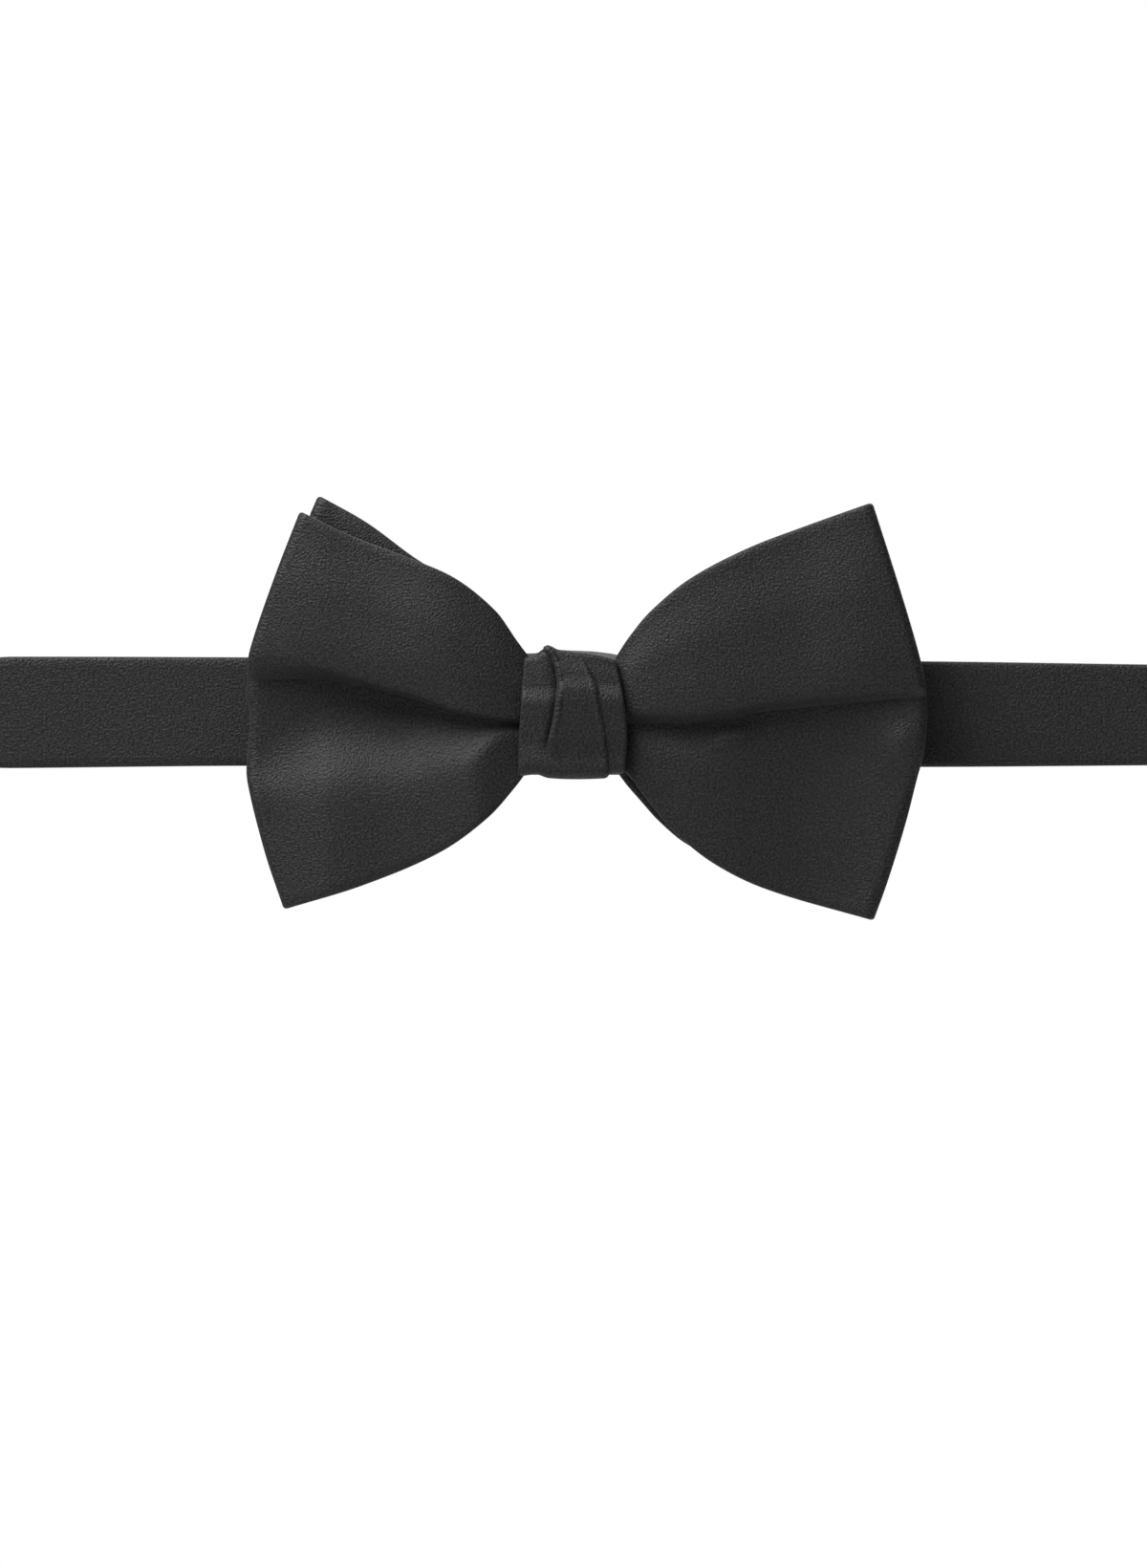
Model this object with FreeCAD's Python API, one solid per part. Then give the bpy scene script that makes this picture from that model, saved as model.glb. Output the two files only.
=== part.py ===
"""Pre-tied bow tie with a folded-back, adjustable neckband.

Millimetres, +Z up as worn, front towards -Y. The origin is the centre of the
neckband behind the knot, the place where the tie sits on the collar.
"""
import FreeCAD, Part
import math
import os

V = FreeCAD.Vector

# ---- driving dimensions ----------------------------------------------------
LEFT_REACH = 57.9            # bow's outer edge from the centre of the knot
RIGHT_REACH = 62.1
LAYER_GAP = 0.1              # air between fabric layers that lie on each other

STRIP_THICKNESS = 1.6        # bow strip: satin, interlining, satin
SATIN_THICKNESS = 0.4
STRIP_EDGE = 1.0             # turned-in satin at the strip's long edges

WAIST_HALF_HEIGHT = 9.2      # gathered bow inside the knot
KNOT_HALF_WIDTH = 8.6
KNOT_HALF_HEIGHT = 11.0
KNOT_FRONT_Y = -15.2
KNOT_BACK_Y = 2.1
KNOT_WALL = 1.1

BAND_THICKNESS = 1.2
BAND_HALF_WIDTH = 9.7        # front run, either side of the knot
REAR_HALF_WIDTH = 8.6        # rear runs, which the hardware fits
FOLD_X = 103.0               # where the band is folded back on itself
FOLD_RADIUS = 6.0            # centre line of the folded band
FOLD_CLEARANCE = 0.3
REAR_Y = 2 * FOLD_RADIUS     # centre plane of the rear runs

SLIDE_X = -43.5              # adjuster slide's centre bar, at its nearest to the hook
SLIDE_TRAVEL = 48.0          # away from the hook, which follows by half as much
HOOK_X = -14.0               # hook's strap bar
EYE_X = 26.0                 # eye's strap bar
STRAP_BAR_RADIUS = 0.8
TURN_INNER = 0.95            # strap turned round a bar
TURN_OUTER = 1.85
METAL_THICKNESS = 0.9
HARDWARE_HALF_WIDTH = 10.4
BAR_Y = REAR_Y + BAND_THICKNESS / 2 + 0.3 - TURN_OUTER

THREAD_RADIUS = 0.2


# ---- helpers -----------------------------------------------------------------
def rounded_outline(points, place):
    """Closed wire through (a, b, radius) corners, each turned by a tangent arc."""
    flat = [V(a, b, 0) for a, b, _ in points]
    edges, starts, ends, middles = [], [], [], []
    for i, (_, _, radius) in enumerate(points):
        corner, before, after = flat[i], flat[i - 1], flat[(i + 1) % len(flat)]
        to_before = (before - corner).normalize()
        to_after = (after - corner).normalize()
        half = to_before.getAngle(to_after) / 2
        if radius == 0:
            starts.append(corner)
            ends.append(corner)
            middles.append(None)
            continue
        reach = radius / math.tan(half)
        bisector = (to_before + to_after).normalize()
        starts.append(corner + to_before * reach)
        ends.append(corner + to_after * reach)
        middles.append(corner + bisector * (radius / math.sin(half) - radius))
    for i in range(len(points)):
        if middles[i] is not None:
            edges.append(Part.Arc(place(starts[i]), place(middles[i]), place(ends[i])).toShape())
        following = starts[(i + 1) % len(points)]
        if (following - ends[i]).Length > 1e-6:
            edges.append(Part.LineSegment(place(ends[i]), place(following)).toShape())
    return Part.Wire(edges)


def plan_prism(points, low_z, high_z, inset=0.0):
    """Solid standing on an outline of (x, y, radius) corners, drawn from above."""
    face = Part.Face(rounded_outline(points, lambda p: V(p.x, p.y, low_z)))
    if inset:
        face = face.makeOffset2D(-inset)
    return face.extrude(V(0, 0, high_z - low_z))


def front_prism(points, low_y, high_y, inset=0.0):
    """Solid behind an outline of (x, z, radius) corners, drawn from the front."""
    face = Part.Face(rounded_outline(points, lambda p: V(p.x, low_y, p.y)))
    if inset:
        face = face.makeOffset2D(-inset)
    return face.extrude(V(0, high_y - low_y, 0))


def side_prism(points, low_x, high_x, inset=0.0):
    """Solid across an outline of (y, z, radius) corners, drawn from the side."""
    face = Part.Face(rounded_outline(points, lambda p: V(low_x, p.x, p.y)))
    if inset:
        face = face.makeOffset2D(-inset)
    return face.extrude(V(high_x - low_x, 0, 0))


def box(low, high):
    size = [b - a for a, b in zip(low, high)]
    return Part.makeBox(*size, V(*low))


def joined(*shapes):
    return shapes[0].fuse(list(shapes[1:])).removeSplitter()


def placed(shape, x, side):
    """Shape drawn facing +X, moved to x; side -1 turns it to face -X."""
    if side < 0:
        shape = shape.mirror(V(0, 0, 0), V(1, 0, 0))
    shape.translate(V(x, 0, 0))
    return shape


# ---- bow -----------------------------------------------------------------------
TALL = 60.0                  # prisms that cut the bow reach this far past it


def beyond(start, corner, stretch):
    """Point past the corner, on the line that runs from start to the corner."""
    return tuple(a + (b - a) * stretch for a, b in zip(start, corner))


def long_edges(corners):
    """Front view of the strip's long edges: pinched at the waist, flared to the corners."""
    waist_x, waist_z = KNOT_HALF_WIDTH + 0.3, WAIST_HALF_HEIGHT
    shoulders = [(-18.0, 23.8), (18.7, 24.6), (18.7, -24.8), (-18.0, -22.8)]
    ends = [beyond(shoulder, corner, 1.6) for shoulder, corner in zip(shoulders, corners)]
    top_left, top_right, foot_right, foot_left = [(*shoulder, 45) for shoulder in shoulders]
    return [
        (-waist_x, waist_z, 0), (waist_x, waist_z, 0), top_right, (*ends[1], 0),
        (*ends[2], 0), foot_right, (waist_x, -waist_z, 0), (-waist_x, -waist_z, 0),
        foot_left, (*ends[3], 0), (*ends[0], 0), top_left,
    ]


def folded_ends(corners, left_mid, right_mid):
    """Front view of the folds at the strip's two ends, drawn past the long edges."""
    top_left, top_right, foot_right, foot_left = corners
    return [
        (*beyond(left_mid, top_left, 1.5), 0), (*beyond(right_mid, top_right, 1.5), 0),
        (*right_mid, 30), (*beyond(right_mid, foot_right, 1.5), 0),
        (*beyond(left_mid, foot_left, 1.5), 0), (*left_mid, 30),
    ]


def loop_plan(front_y, back_y, bulge, end_front, end_back, reach):
    """Tier from above: a flat loop, pinched at the waist, fuller towards its ends."""
    pinch_x = KNOT_HALF_WIDTH + 0.4
    return [
        (-pinch_x, front_y, 4), (pinch_x, front_y, 4), (28, front_y - bulge, 30),
        (reach, end_front, 0), (reach, end_back, 0), (40, back_y, 10),
        (-40, back_y, 10), (-reach, end_back, 0), (-reach, end_front, 0),
        (-28, front_y - bulge, 30),
    ]


def bow_tier(corners, left_mid, right_mid, plan):
    """Satin strip sewn into a loop, and the interlining sewn inside its walls."""
    ends = folded_ends(corners, left_mid, right_mid)
    edges = long_edges(corners)

    def loop(inset):
        return plan_prism(plan, -TALL, TALL, inset).common(front_prism(ends, -TALL, TALL, inset))

    def wall(outer_inset, inner_inset, edge_inset):
        ring = loop(outer_inset).cut(loop(inner_inset))
        return ring.common(front_prism(edges, -TALL, TALL, edge_inset))

    gap = LAYER_GAP / 2
    inner = STRIP_THICKNESS - SATIN_THICKNESS
    pocket = wall(SATIN_THICKNESS, inner, STRIP_EDGE)
    satin = wall(0, STRIP_THICKNESS, 0).cut(pocket)
    interlining = wall(SATIN_THICKNESS + gap, inner - gap, STRIP_EDGE + gap)
    return satin, interlining


def front_bow():
    corners = [(-47.9, 35.8), (52.3, 37.0), (52.5, -36.8), (-51.0, -34.9)]
    plan = loop_plan(-11.6, -7.4, 4.6, -14.6, -8.4, 70)
    return bow_tier(corners, (-LEFT_REACH - 0.6, -3.0), (RIGHT_REACH + 0.6, 0), plan)


def back_bow():
    corners = [(-44.4, 38.3), (49.5, 34.6), (49.5, -34.6), (-48.0, -33.0)]
    plan = loop_plan(-7.1, -1.4, 0.2, -6.6, -1.8, 70)
    return bow_tier(corners, (-LEFT_REACH + 3.0, -3.0), (RIGHT_REACH - 3.0, 0), plan)


def waist_thread(turns=5, spacing=1.0):
    """Thread wound round the gathered waist of both tiers."""
    bundle = [(-11.6, -WAIST_HALF_HEIGHT, 0), (-11.6, WAIST_HALF_HEIGHT, 0),
              (-1.4, WAIST_HALF_HEIGHT, 0), (-1.4, -WAIST_HALF_HEIGHT, 0)]
    rings = []
    for turn in range(turns):
        middle = (turn - (turns - 1) / 2) * spacing
        low, high = middle - THREAD_RADIUS, middle + THREAD_RADIUS
        outer = side_prism(bundle, low, high, -2 * THREAD_RADIUS - 0.05)
        rings.append(outer.cut(side_prism(bundle, low - 1, high + 1, -0.05)))
    return Part.makeCompound(rings)


# ---- knot ------------------------------------------------------------------------
def knot_section():
    top = KNOT_HALF_HEIGHT
    return [(KNOT_FRONT_Y, -top, 4.5), (KNOT_FRONT_Y, top, 4.5),
            (KNOT_BACK_Y, top, 1.3), (KNOT_BACK_Y, -top, 1.3)]


def knot_wrap():
    """Satin band wrapped round the waist and the neckband, sewn at the back."""
    outer = side_prism(knot_section(), -KNOT_HALF_WIDTH, KNOT_HALF_WIDTH)
    inner = side_prism(knot_section(), -KNOT_HALF_WIDTH - 1, KNOT_HALF_WIDTH + 1, KNOT_WALL)
    return outer.cut(inner)


def knot_interlining():
    """Stiffener that rounds the face of the knot, just inside the wrap."""
    y = KNOT_FRONT_Y + KNOT_WALL + LAYER_GAP
    thickness, half_height, margin = 1.4, 6.8, 0.8
    return box((-KNOT_HALF_WIDTH + margin, y, -half_height),
               (KNOT_HALF_WIDTH - margin, y + thickness, half_height))


def stitch_row(count, spacing, centre, step, size):
    """Row of equal stitches, as (x, y, z) centre, unit step and full sizes."""
    stitches = []
    for i in range(count):
        offset = (i - (count - 1) / 2) * spacing
        middle = [c + s * offset for c, s in zip(centre, step)]
        low = [m - d / 2 for m, d in zip(middle, size)]
        high = [m + d / 2 for m, d in zip(middle, size)]
        stitches.append(box(low, high))
    return Part.makeCompound(stitches)


def knot_back_stitches():
    """Slip stitches across the seam that closes the wrap behind the knot."""
    thread = 2 * THREAD_RADIUS
    y = KNOT_BACK_Y + THREAD_RADIUS / 2
    return stitch_row(7, 2.2, (0, y, 0), (1, 0, 0), (thread, THREAD_RADIUS, 2.0))


# ---- neckband ----------------------------------------------------------------------
def band_run(low_x, high_x, middle_y, half_width):
    """Satin tube of the band with a pocket inside it, and the interlining strip."""
    half = BAND_THICKNESS / 2
    wall, edge, end = 0.3, 0.6, 0.6
    satin = box((low_x, middle_y - half, -half_width), (high_x, middle_y + half, half_width))
    pocket = box((low_x + end, middle_y - half + wall, -half_width + edge),
                 (high_x - end, middle_y + half - wall, half_width - edge))
    gap = LAYER_GAP / 2
    interlining = box((low_x + end + gap, middle_y - half + wall + gap, -half_width + edge + gap),
                      (high_x - end - gap, middle_y + half - wall - gap, half_width - edge - gap))
    return satin.cut(pocket), interlining


def band_fold(side):
    """The band's half turn behind itself; side is -1 at the left, +1 at the right."""
    half = BAND_THICKNESS / 2
    height = 2 * REAR_HALF_WIDTH
    centre = V(0, FOLD_RADIUS, -REAR_HALF_WIDTH)
    ring = Part.makeCylinder(FOLD_RADIUS + half, height, centre)
    ring = ring.cut(Part.makeCylinder(FOLD_RADIUS - half, height, centre))
    outer_side = box((0, -half, -REAR_HALF_WIDTH), (2 * FOLD_RADIUS, REAR_Y + half, REAR_HALF_WIDTH))
    lead = FOLD_CLEARANCE - LAYER_GAP
    lead_low = box((-lead, -half, -REAR_HALF_WIDTH), (0, half, REAR_HALF_WIDTH))
    lead_high = box((-lead, REAR_Y - half, -REAR_HALF_WIDTH), (0, REAR_Y + half, REAR_HALF_WIDTH))
    turn = joined(ring.common(outer_side), lead_low, lead_high)
    return placed(turn, side * FOLD_X, side)


def strap_turn(bar_x, side, upper_lead, lower_lead):
    """Strap turned round a bar; its ends lead off to the side away from the bar."""
    height = 2 * REAR_HALF_WIDTH
    centre = V(0, BAR_Y, -REAR_HALF_WIDTH)
    ring = Part.makeCylinder(TURN_OUTER, height, centre)
    ring = ring.cut(Part.makeCylinder(TURN_INNER, height, centre))
    near = box((0, BAR_Y - 5, -REAR_HALF_WIDTH), (5, BAR_Y + 5, REAR_HALF_WIDTH))
    upper = box((-upper_lead, BAR_Y + TURN_INNER, -REAR_HALF_WIDTH),
                (0, BAR_Y + TURN_OUTER, REAR_HALF_WIDTH))
    lower = box((-lower_lead, BAR_Y - TURN_OUTER, -REAR_HALF_WIDTH),
                (0, BAR_Y - TURN_INNER, REAR_HALF_WIDTH))
    return placed(joined(ring.common(near), upper, lower), bar_x, side)


# ---- adjuster, hook and eye ------------------------------------------------------------
SLIDE_HALF_LENGTH = 7.5
SLIDE_RAIL = 1.7
SLIDE_Y = REAR_Y + BAND_THICKNESS / 2 + 0.6          # underside of the slide's frame
CENTRE_BAR_RADIUS = 0.55
CENTRE_BAR_Y = BAR_Y - (TURN_OUTER + TURN_INNER) / 2
TURN_LEAD = 2.0
SLEEVE_GAP = 0.05
SLEEVE_WALL = 0.25
SLEEVE_HALF_WIDTH = REAR_HALF_WIDTH + SLEEVE_GAP + SLEEVE_WALL
SEWN_END_THICKNESS = 0.4
TONGUE_THICKNESS = 0.3
TONGUE_LENGTH = SLIDE_TRAVEL / 2 + 3.2   # so that it never leaves the inner run


def rectangle(centre_x, half_x, half_z, radius):
    return [(centre_x - half_x, -half_z, radius), (centre_x + half_x, -half_z, radius),
            (centre_x + half_x, half_z, radius), (centre_x - half_x, half_z, radius)]


def adjuster_slide():
    """Flat frame outside the strap, with its centre bar carried inside the strap."""
    outer = rectangle(SLIDE_X, SLIDE_HALF_LENGTH, HARDWARE_HALF_WIDTH, 2.5)
    window = rectangle(SLIDE_X, SLIDE_HALF_LENGTH - SLIDE_RAIL, HARDWARE_HALF_WIDTH - SLIDE_RAIL, 1.0)
    top = SLIDE_Y + METAL_THICKNESS
    frame = front_prism(outer, SLIDE_Y, top).cut(front_prism(window, SLIDE_Y - 1, top + 1))
    solids = [frame]
    post_low, post_high = SLEEVE_HALF_WIDTH + 0.3, HARDWARE_HALF_WIDTH - 0.2
    for side in (-1, 1):
        ends = sorted((side * post_low, side * post_high))
        solids.append(box((SLIDE_X - 1.0, CENTRE_BAR_Y - CENTRE_BAR_RADIUS, ends[0]),
                          (SLIDE_X + 1.0, SLIDE_Y + METAL_THICKNESS / 2, ends[1])))
    length = 2 * post_low + 1.0
    solids.append(Part.makeCylinder(CENTRE_BAR_RADIUS, length, V(SLIDE_X, CENTRE_BAR_Y, -length / 2)))
    return joined(*solids)


def slide_strap_end():
    """End of the strap, sewn round the slide's centre bar and run on inside the inner strap."""
    height = 2 * REAR_HALF_WIDTH
    base = V(SLIDE_X, CENTRE_BAR_Y, -REAR_HALF_WIDTH)
    inner = CENTRE_BAR_RADIUS + LAYER_GAP
    outer = inner + SEWN_END_THICKNESS
    tongue = box((SLIDE_X + inner + 0.1, CENTRE_BAR_Y - TONGUE_THICKNESS / 2, -REAR_HALF_WIDTH + 0.6),
                 (SLIDE_X + TONGUE_LENGTH, CENTRE_BAR_Y + TONGUE_THICKNESS / 2, REAR_HALF_WIDTH - 0.6))
    wrap = Part.makeCylinder(outer, height, base).cut(Part.makeCylinder(inner, height, base))
    return joined(wrap, tongue)


def slide_tack_stitches():
    """Bar tack that closes the sewn end, beside the centre bar."""
    thread = 2 * THREAD_RADIUS
    y = CENTRE_BAR_Y - (TURN_OUTER - TURN_INNER) / 2 - LAYER_GAP - THREAD_RADIUS / 2
    return stitch_row(9, 1.7, (SLIDE_X + 3.2, y, 0), (0, 0, 1), (1.8, THREAD_RADIUS, thread))


def sleeve(low_x, high_x, middle_y, outer_half, inner_half, outer_width, inner_width):
    """Flat open tube of strap along X."""
    outer = box((low_x, middle_y - outer_half, -outer_width), (high_x, middle_y + outer_half, outer_width))
    inside = box((low_x - 1, middle_y - inner_half, -inner_width),
                 (high_x + 1, middle_y + inner_half, inner_width))
    return outer.cut(inside)


def hook_strap_run():
    """Doubled strap behind the hook: the outer run over the band, the inner run over the sewn end."""
    end_x = HOOK_X - TURN_LEAD
    half = BAND_THICKNESS / 2 + SLEEVE_GAP
    outer_run = sleeve(SLIDE_X - 2.5, end_x, REAR_Y,
                       half + SLEEVE_WALL, half, SLEEVE_HALF_WIDTH, REAR_HALF_WIDTH + SLEEVE_GAP)
    start_x = SLIDE_X + CENTRE_BAR_RADIUS + LAYER_GAP + SEWN_END_THICKNESS + LAYER_GAP
    inner_run = sleeve(start_x, end_x, CENTRE_BAR_Y, (TURN_OUTER - TURN_INNER) / 2,
                       TONGUE_THICKNESS / 2 + SLEEVE_GAP, REAR_HALF_WIDTH,
                       REAR_HALF_WIDTH - 0.6 + SLEEVE_GAP)
    return Part.makeCompound([outer_run, inner_run])


def hardware_yoke():
    """Strap bar at the origin, two arms and a cross piece reaching towards +X."""
    reach_low, reach_high = 3.2, 5.4
    half = METAL_THICKNESS / 2
    arm_low = REAR_HALF_WIDTH + 0.4
    length = 2 * HARDWARE_HALF_WIDTH - 0.6
    outer = [(0, -HARDWARE_HALF_WIDTH, 0.8), (reach_high, -HARDWARE_HALF_WIDTH, 2.0),
             (reach_high, HARDWARE_HALF_WIDTH, 2.0), (0, HARDWARE_HALF_WIDTH, 0.8)]
    slot = [(-2, -arm_low, 0), (reach_low, -arm_low, 0.8),
            (reach_low, arm_low, 0.8), (-2, arm_low, 0)]
    plate = front_prism(outer, BAR_Y - half, BAR_Y + half)
    plate = plate.cut(front_prism(slot, BAR_Y - 2, BAR_Y + 2))
    bar = Part.makeCylinder(STRAP_BAR_RADIUS, length, V(0, BAR_Y, -length / 2))
    return joined(plate, bar), reach_high, half


def hook():
    """Stamped hook: yoke, tongue, and the tongue's tip bent back towards the neck."""
    yoke, reach, half = hardware_yoke()
    tongue_half, bend_x, tip_x, bend_inner = 2.6, 12.0, 7.4, 0.9
    tongue = box((reach - 0.5, BAR_Y - half, -tongue_half), (bend_x, BAR_Y + half, tongue_half))
    bend_centre = V(bend_x, BAR_Y - half - bend_inner, -tongue_half)
    bend_outer = bend_inner + METAL_THICKNESS
    bend = Part.makeCylinder(bend_outer, 2 * tongue_half, bend_centre)
    bend = bend.cut(Part.makeCylinder(bend_inner, 2 * tongue_half, bend_centre))
    bend = bend.common(box((bend_x, 0, -5), (bend_x + 5, 30, 5)))
    low_y = BAR_Y - half - 2 * bend_inner - METAL_THICKNESS
    tip = box((tip_x, low_y, -tongue_half), (bend_x, low_y + METAL_THICKNESS, tongue_half))
    return placed(joined(yoke, tongue, bend, tip), HOOK_X, 1)


def eye():
    """Stamped eye: yoke and a rounded loop for the hook."""
    yoke, reach, half = hardware_yoke()
    loop_end, loop_half, rim = 13.2, 5.6, 1.5
    outer = [(reach - 0.6, -loop_half, 0), (loop_end, -loop_half, 3.0),
             (loop_end, loop_half, 3.0), (reach - 0.6, loop_half, 0)]
    hole = [(reach + 0.4, -loop_half + rim, 0.6), (loop_end - rim, -loop_half + rim, 1.6),
            (loop_end - rim, loop_half - rim, 1.6), (reach + 0.4, loop_half - rim, 0.6)]
    loop = front_prism(outer, BAR_Y - half, BAR_Y + half)
    eye_shape = joined(yoke, loop).cut(front_prism(hole, BAR_Y - 2, BAR_Y + 2))
    return placed(eye_shape, EYE_X, -1)


def eye_tack_stitches():
    """Bar tack through the turned-back strap behind the eye."""
    thread = 2 * THREAD_RADIUS
    y = REAR_Y + BAND_THICKNESS / 2 + THREAD_RADIUS / 2
    return stitch_row(9, 1.7, (EYE_X + 8.0, y, 0), (0, 0, 1), (1.8, THREAD_RADIUS, thread))


# ---- label -----------------------------------------------------------------------------
LABEL_X, LABEL_HALF_LENGTH, LABEL_HALF_HEIGHT, LABEL_THICKNESS = 34.0, 14.0, 6.0, 0.3


def care_label():
    """Blank woven label on the back of the band."""
    y = BAND_THICKNESS / 2
    return box((LABEL_X - LABEL_HALF_LENGTH, y, -LABEL_HALF_HEIGHT),
               (LABEL_X + LABEL_HALF_LENGTH, y + LABEL_THICKNESS, LABEL_HALF_HEIGHT))


def label_stitches():
    """Running stitch down both ends of the label."""
    thread = 2 * THREAD_RADIUS
    y = BAND_THICKNESS / 2 + LABEL_THICKNESS + THREAD_RADIUS / 2
    rows = []
    for side in (-1, 1):
        x = LABEL_X + side * (LABEL_HALF_LENGTH - 1.2)
        rows.append(stitch_row(5, 2.2, (x, y, 0), (0, 0, 1), (thread, THREAD_RADIUS, 1.4)))
    return Part.makeCompound(rows)


# ---- the nodes ---------------------------------------------------------------------------
def build():
    nodes = {}
    nodes["front_bow_satin"], nodes["front_bow_interlining"] = front_bow()
    nodes["back_bow_satin"], nodes["back_bow_interlining"] = back_bow()
    nodes["waist_thread"] = waist_thread()
    nodes["knot_wrap_satin"] = knot_wrap()
    nodes["knot_interlining"] = knot_interlining()
    nodes["knot_back_stitches"] = knot_back_stitches()

    run_end = FOLD_X - FOLD_CLEARANCE
    static_end = HOOK_X - TURN_LEAD - SLIDE_TRAVEL / 2 - 0.5
    nodes["front_band_satin"], nodes["front_band_interlining"] = band_run(
        -run_end, run_end, 0, BAND_HALF_WIDTH)
    nodes["left_rear_band_satin"], nodes["left_rear_band_interlining"] = band_run(
        -run_end, static_end, REAR_Y, REAR_HALF_WIDTH)
    nodes["right_rear_band_satin"], nodes["right_rear_band_interlining"] = band_run(
        EYE_X + TURN_LEAD + LAYER_GAP, run_end, REAR_Y, REAR_HALF_WIDTH)
    nodes["left_band_fold"] = band_fold(-1)
    nodes["right_band_fold"] = band_fold(1)
    nodes["care_label"] = care_label()
    nodes["label_stitches"] = label_stitches()

    nodes["adjuster_slide"] = adjuster_slide()
    nodes["slide_strap_end"] = slide_strap_end()
    nodes["slide_tack_stitches"] = slide_tack_stitches()
    nodes["hook_strap_run"] = hook_strap_run()
    nodes["hook_strap_turn"] = strap_turn(HOOK_X, 1, TURN_LEAD, TURN_LEAD)
    nodes["hook"] = hook()
    nodes["eye_strap_turn"] = strap_turn(EYE_X, -1, TURN_LEAD, 10.0)
    nodes["eye_tack_stitches"] = eye_tack_stitches()
    nodes["eye"] = eye()
    return nodes


os.makedirs("parts", exist_ok=True)
for name, shape in build().items():
    shape.exportStep(f"parts/{name}.step")
    size = shape.BoundBox
    print(f"{name:28s} solids {len(shape.Solids):2d}  volume {shape.Volume:9.1f} mm3  valid {shape.isValid()}"
          f"  x {size.XMin:7.1f} {size.XMax:7.1f}  y {size.YMin:6.1f} {size.YMax:6.1f}"
          f"  z {size.ZMin:6.1f} {size.ZMax:6.1f}")
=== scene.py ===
"""Looks of the pre-tied bow tie: satin, thread, metal, light and camera.

Shapes are worked out in millimetres and become metres in make_mesh().
"depth" is the distance in front of the neckband's middle, so it points along -Y.
Left and right are as seen from the front: left is -X.
"""
import bmesh
import bpy
import math
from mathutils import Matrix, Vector


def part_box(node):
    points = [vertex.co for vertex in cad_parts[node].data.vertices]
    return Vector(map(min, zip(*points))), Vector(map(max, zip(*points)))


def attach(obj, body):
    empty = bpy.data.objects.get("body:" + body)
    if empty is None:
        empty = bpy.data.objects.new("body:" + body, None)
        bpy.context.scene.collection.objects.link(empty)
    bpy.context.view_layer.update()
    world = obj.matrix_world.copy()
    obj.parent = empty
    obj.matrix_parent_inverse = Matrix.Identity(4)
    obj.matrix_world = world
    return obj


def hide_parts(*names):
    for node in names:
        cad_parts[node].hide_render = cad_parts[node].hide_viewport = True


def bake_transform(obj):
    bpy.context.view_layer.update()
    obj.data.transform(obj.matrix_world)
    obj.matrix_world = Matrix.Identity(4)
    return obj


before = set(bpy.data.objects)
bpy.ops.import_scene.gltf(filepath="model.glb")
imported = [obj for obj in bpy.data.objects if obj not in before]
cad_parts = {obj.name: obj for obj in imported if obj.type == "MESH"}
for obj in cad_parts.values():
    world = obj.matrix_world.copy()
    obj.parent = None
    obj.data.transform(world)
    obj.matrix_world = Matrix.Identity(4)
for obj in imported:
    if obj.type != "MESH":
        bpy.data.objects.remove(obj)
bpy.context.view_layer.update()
MM = 0.001


# ---- numbers -------------------------------------------------------------------
def clamp(value, low=0.0, high=1.0):
    return max(low, min(high, value))


def smooth(value):
    """0 up to 0, 1 from 1 on, and an even S between."""
    t = clamp(value)
    return t * t * (3 - 2 * t)


def mix(a, b, t):
    """Straight from a at 0 to b at 1."""
    return a + (b - a) * t


def bell(value, middle, width):
    """1 at the middle, falling to about a third at width from it."""
    return math.exp(-((value - middle) / width) ** 2)


def curve(points):
    """Smooth function through (input, output) points, straight beyond the ends."""

    def slope(i):
        low, high = max(i - 1, 0), min(i + 1, len(points) - 1)
        return (points[high][1] - points[low][1]) / (points[high][0] - points[low][0])

    def at(x):
        if x <= points[0][0]:
            return points[0][1] + slope(0) * (x - points[0][0])
        if x >= points[-1][0]:
            return points[-1][1] + slope(len(points) - 1) * (x - points[-1][0])
        i = next(k for k in range(len(points) - 1) if x <= points[k + 1][0])
        (x0, y0), (x1, y1) = points[i], points[i + 1]
        span = x1 - x0
        t = (x - x0) / span
        return ((1 + 2 * t) * (1 - t) ** 2 * y0 + t * (1 - t) ** 2 * span * slope(i)
                + t * t * (3 - 2 * t) * y1 + t * t * (t - 1) * span * slope(i + 1))
    return at


def node_box(node):
    """Lowest and highest corner of a CAD node, in millimetres."""
    low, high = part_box(node)
    return Vector(low) / MM, Vector(high) / MM


# ---- meshes ----------------------------------------------------------------------
def make_mesh(name, points, faces, uvs, material):
    """Object from points in millimetres; uvs holds one (u, v) for each face corner."""
    mesh = bpy.data.meshes.new(name)
    mesh.from_pydata([tuple(c * MM for c in p) for p in points], [], faces)
    layer = mesh.uv_layers.new(name="cloth")
    corner = 0
    for face_uvs in uvs:
        for uv in face_uvs:
            layer.data[corner].uv = uv
            corner += 1
    mesh.polygons.foreach_set("use_smooth", [True] * len(mesh.polygons))
    mesh.materials.append(material)
    mesh.validate()
    mesh.update()
    piece = bpy.data.objects.new(name, mesh)
    bpy.context.scene.collection.objects.link(piece)
    return piece


def finish_piece(piece, body, slot, *nodes):
    """Put the piece on its body and hide the CAD nodes it replaces; slot is not used."""
    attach(piece, body)
    if nodes:
        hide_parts(*nodes)
    return piece


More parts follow.
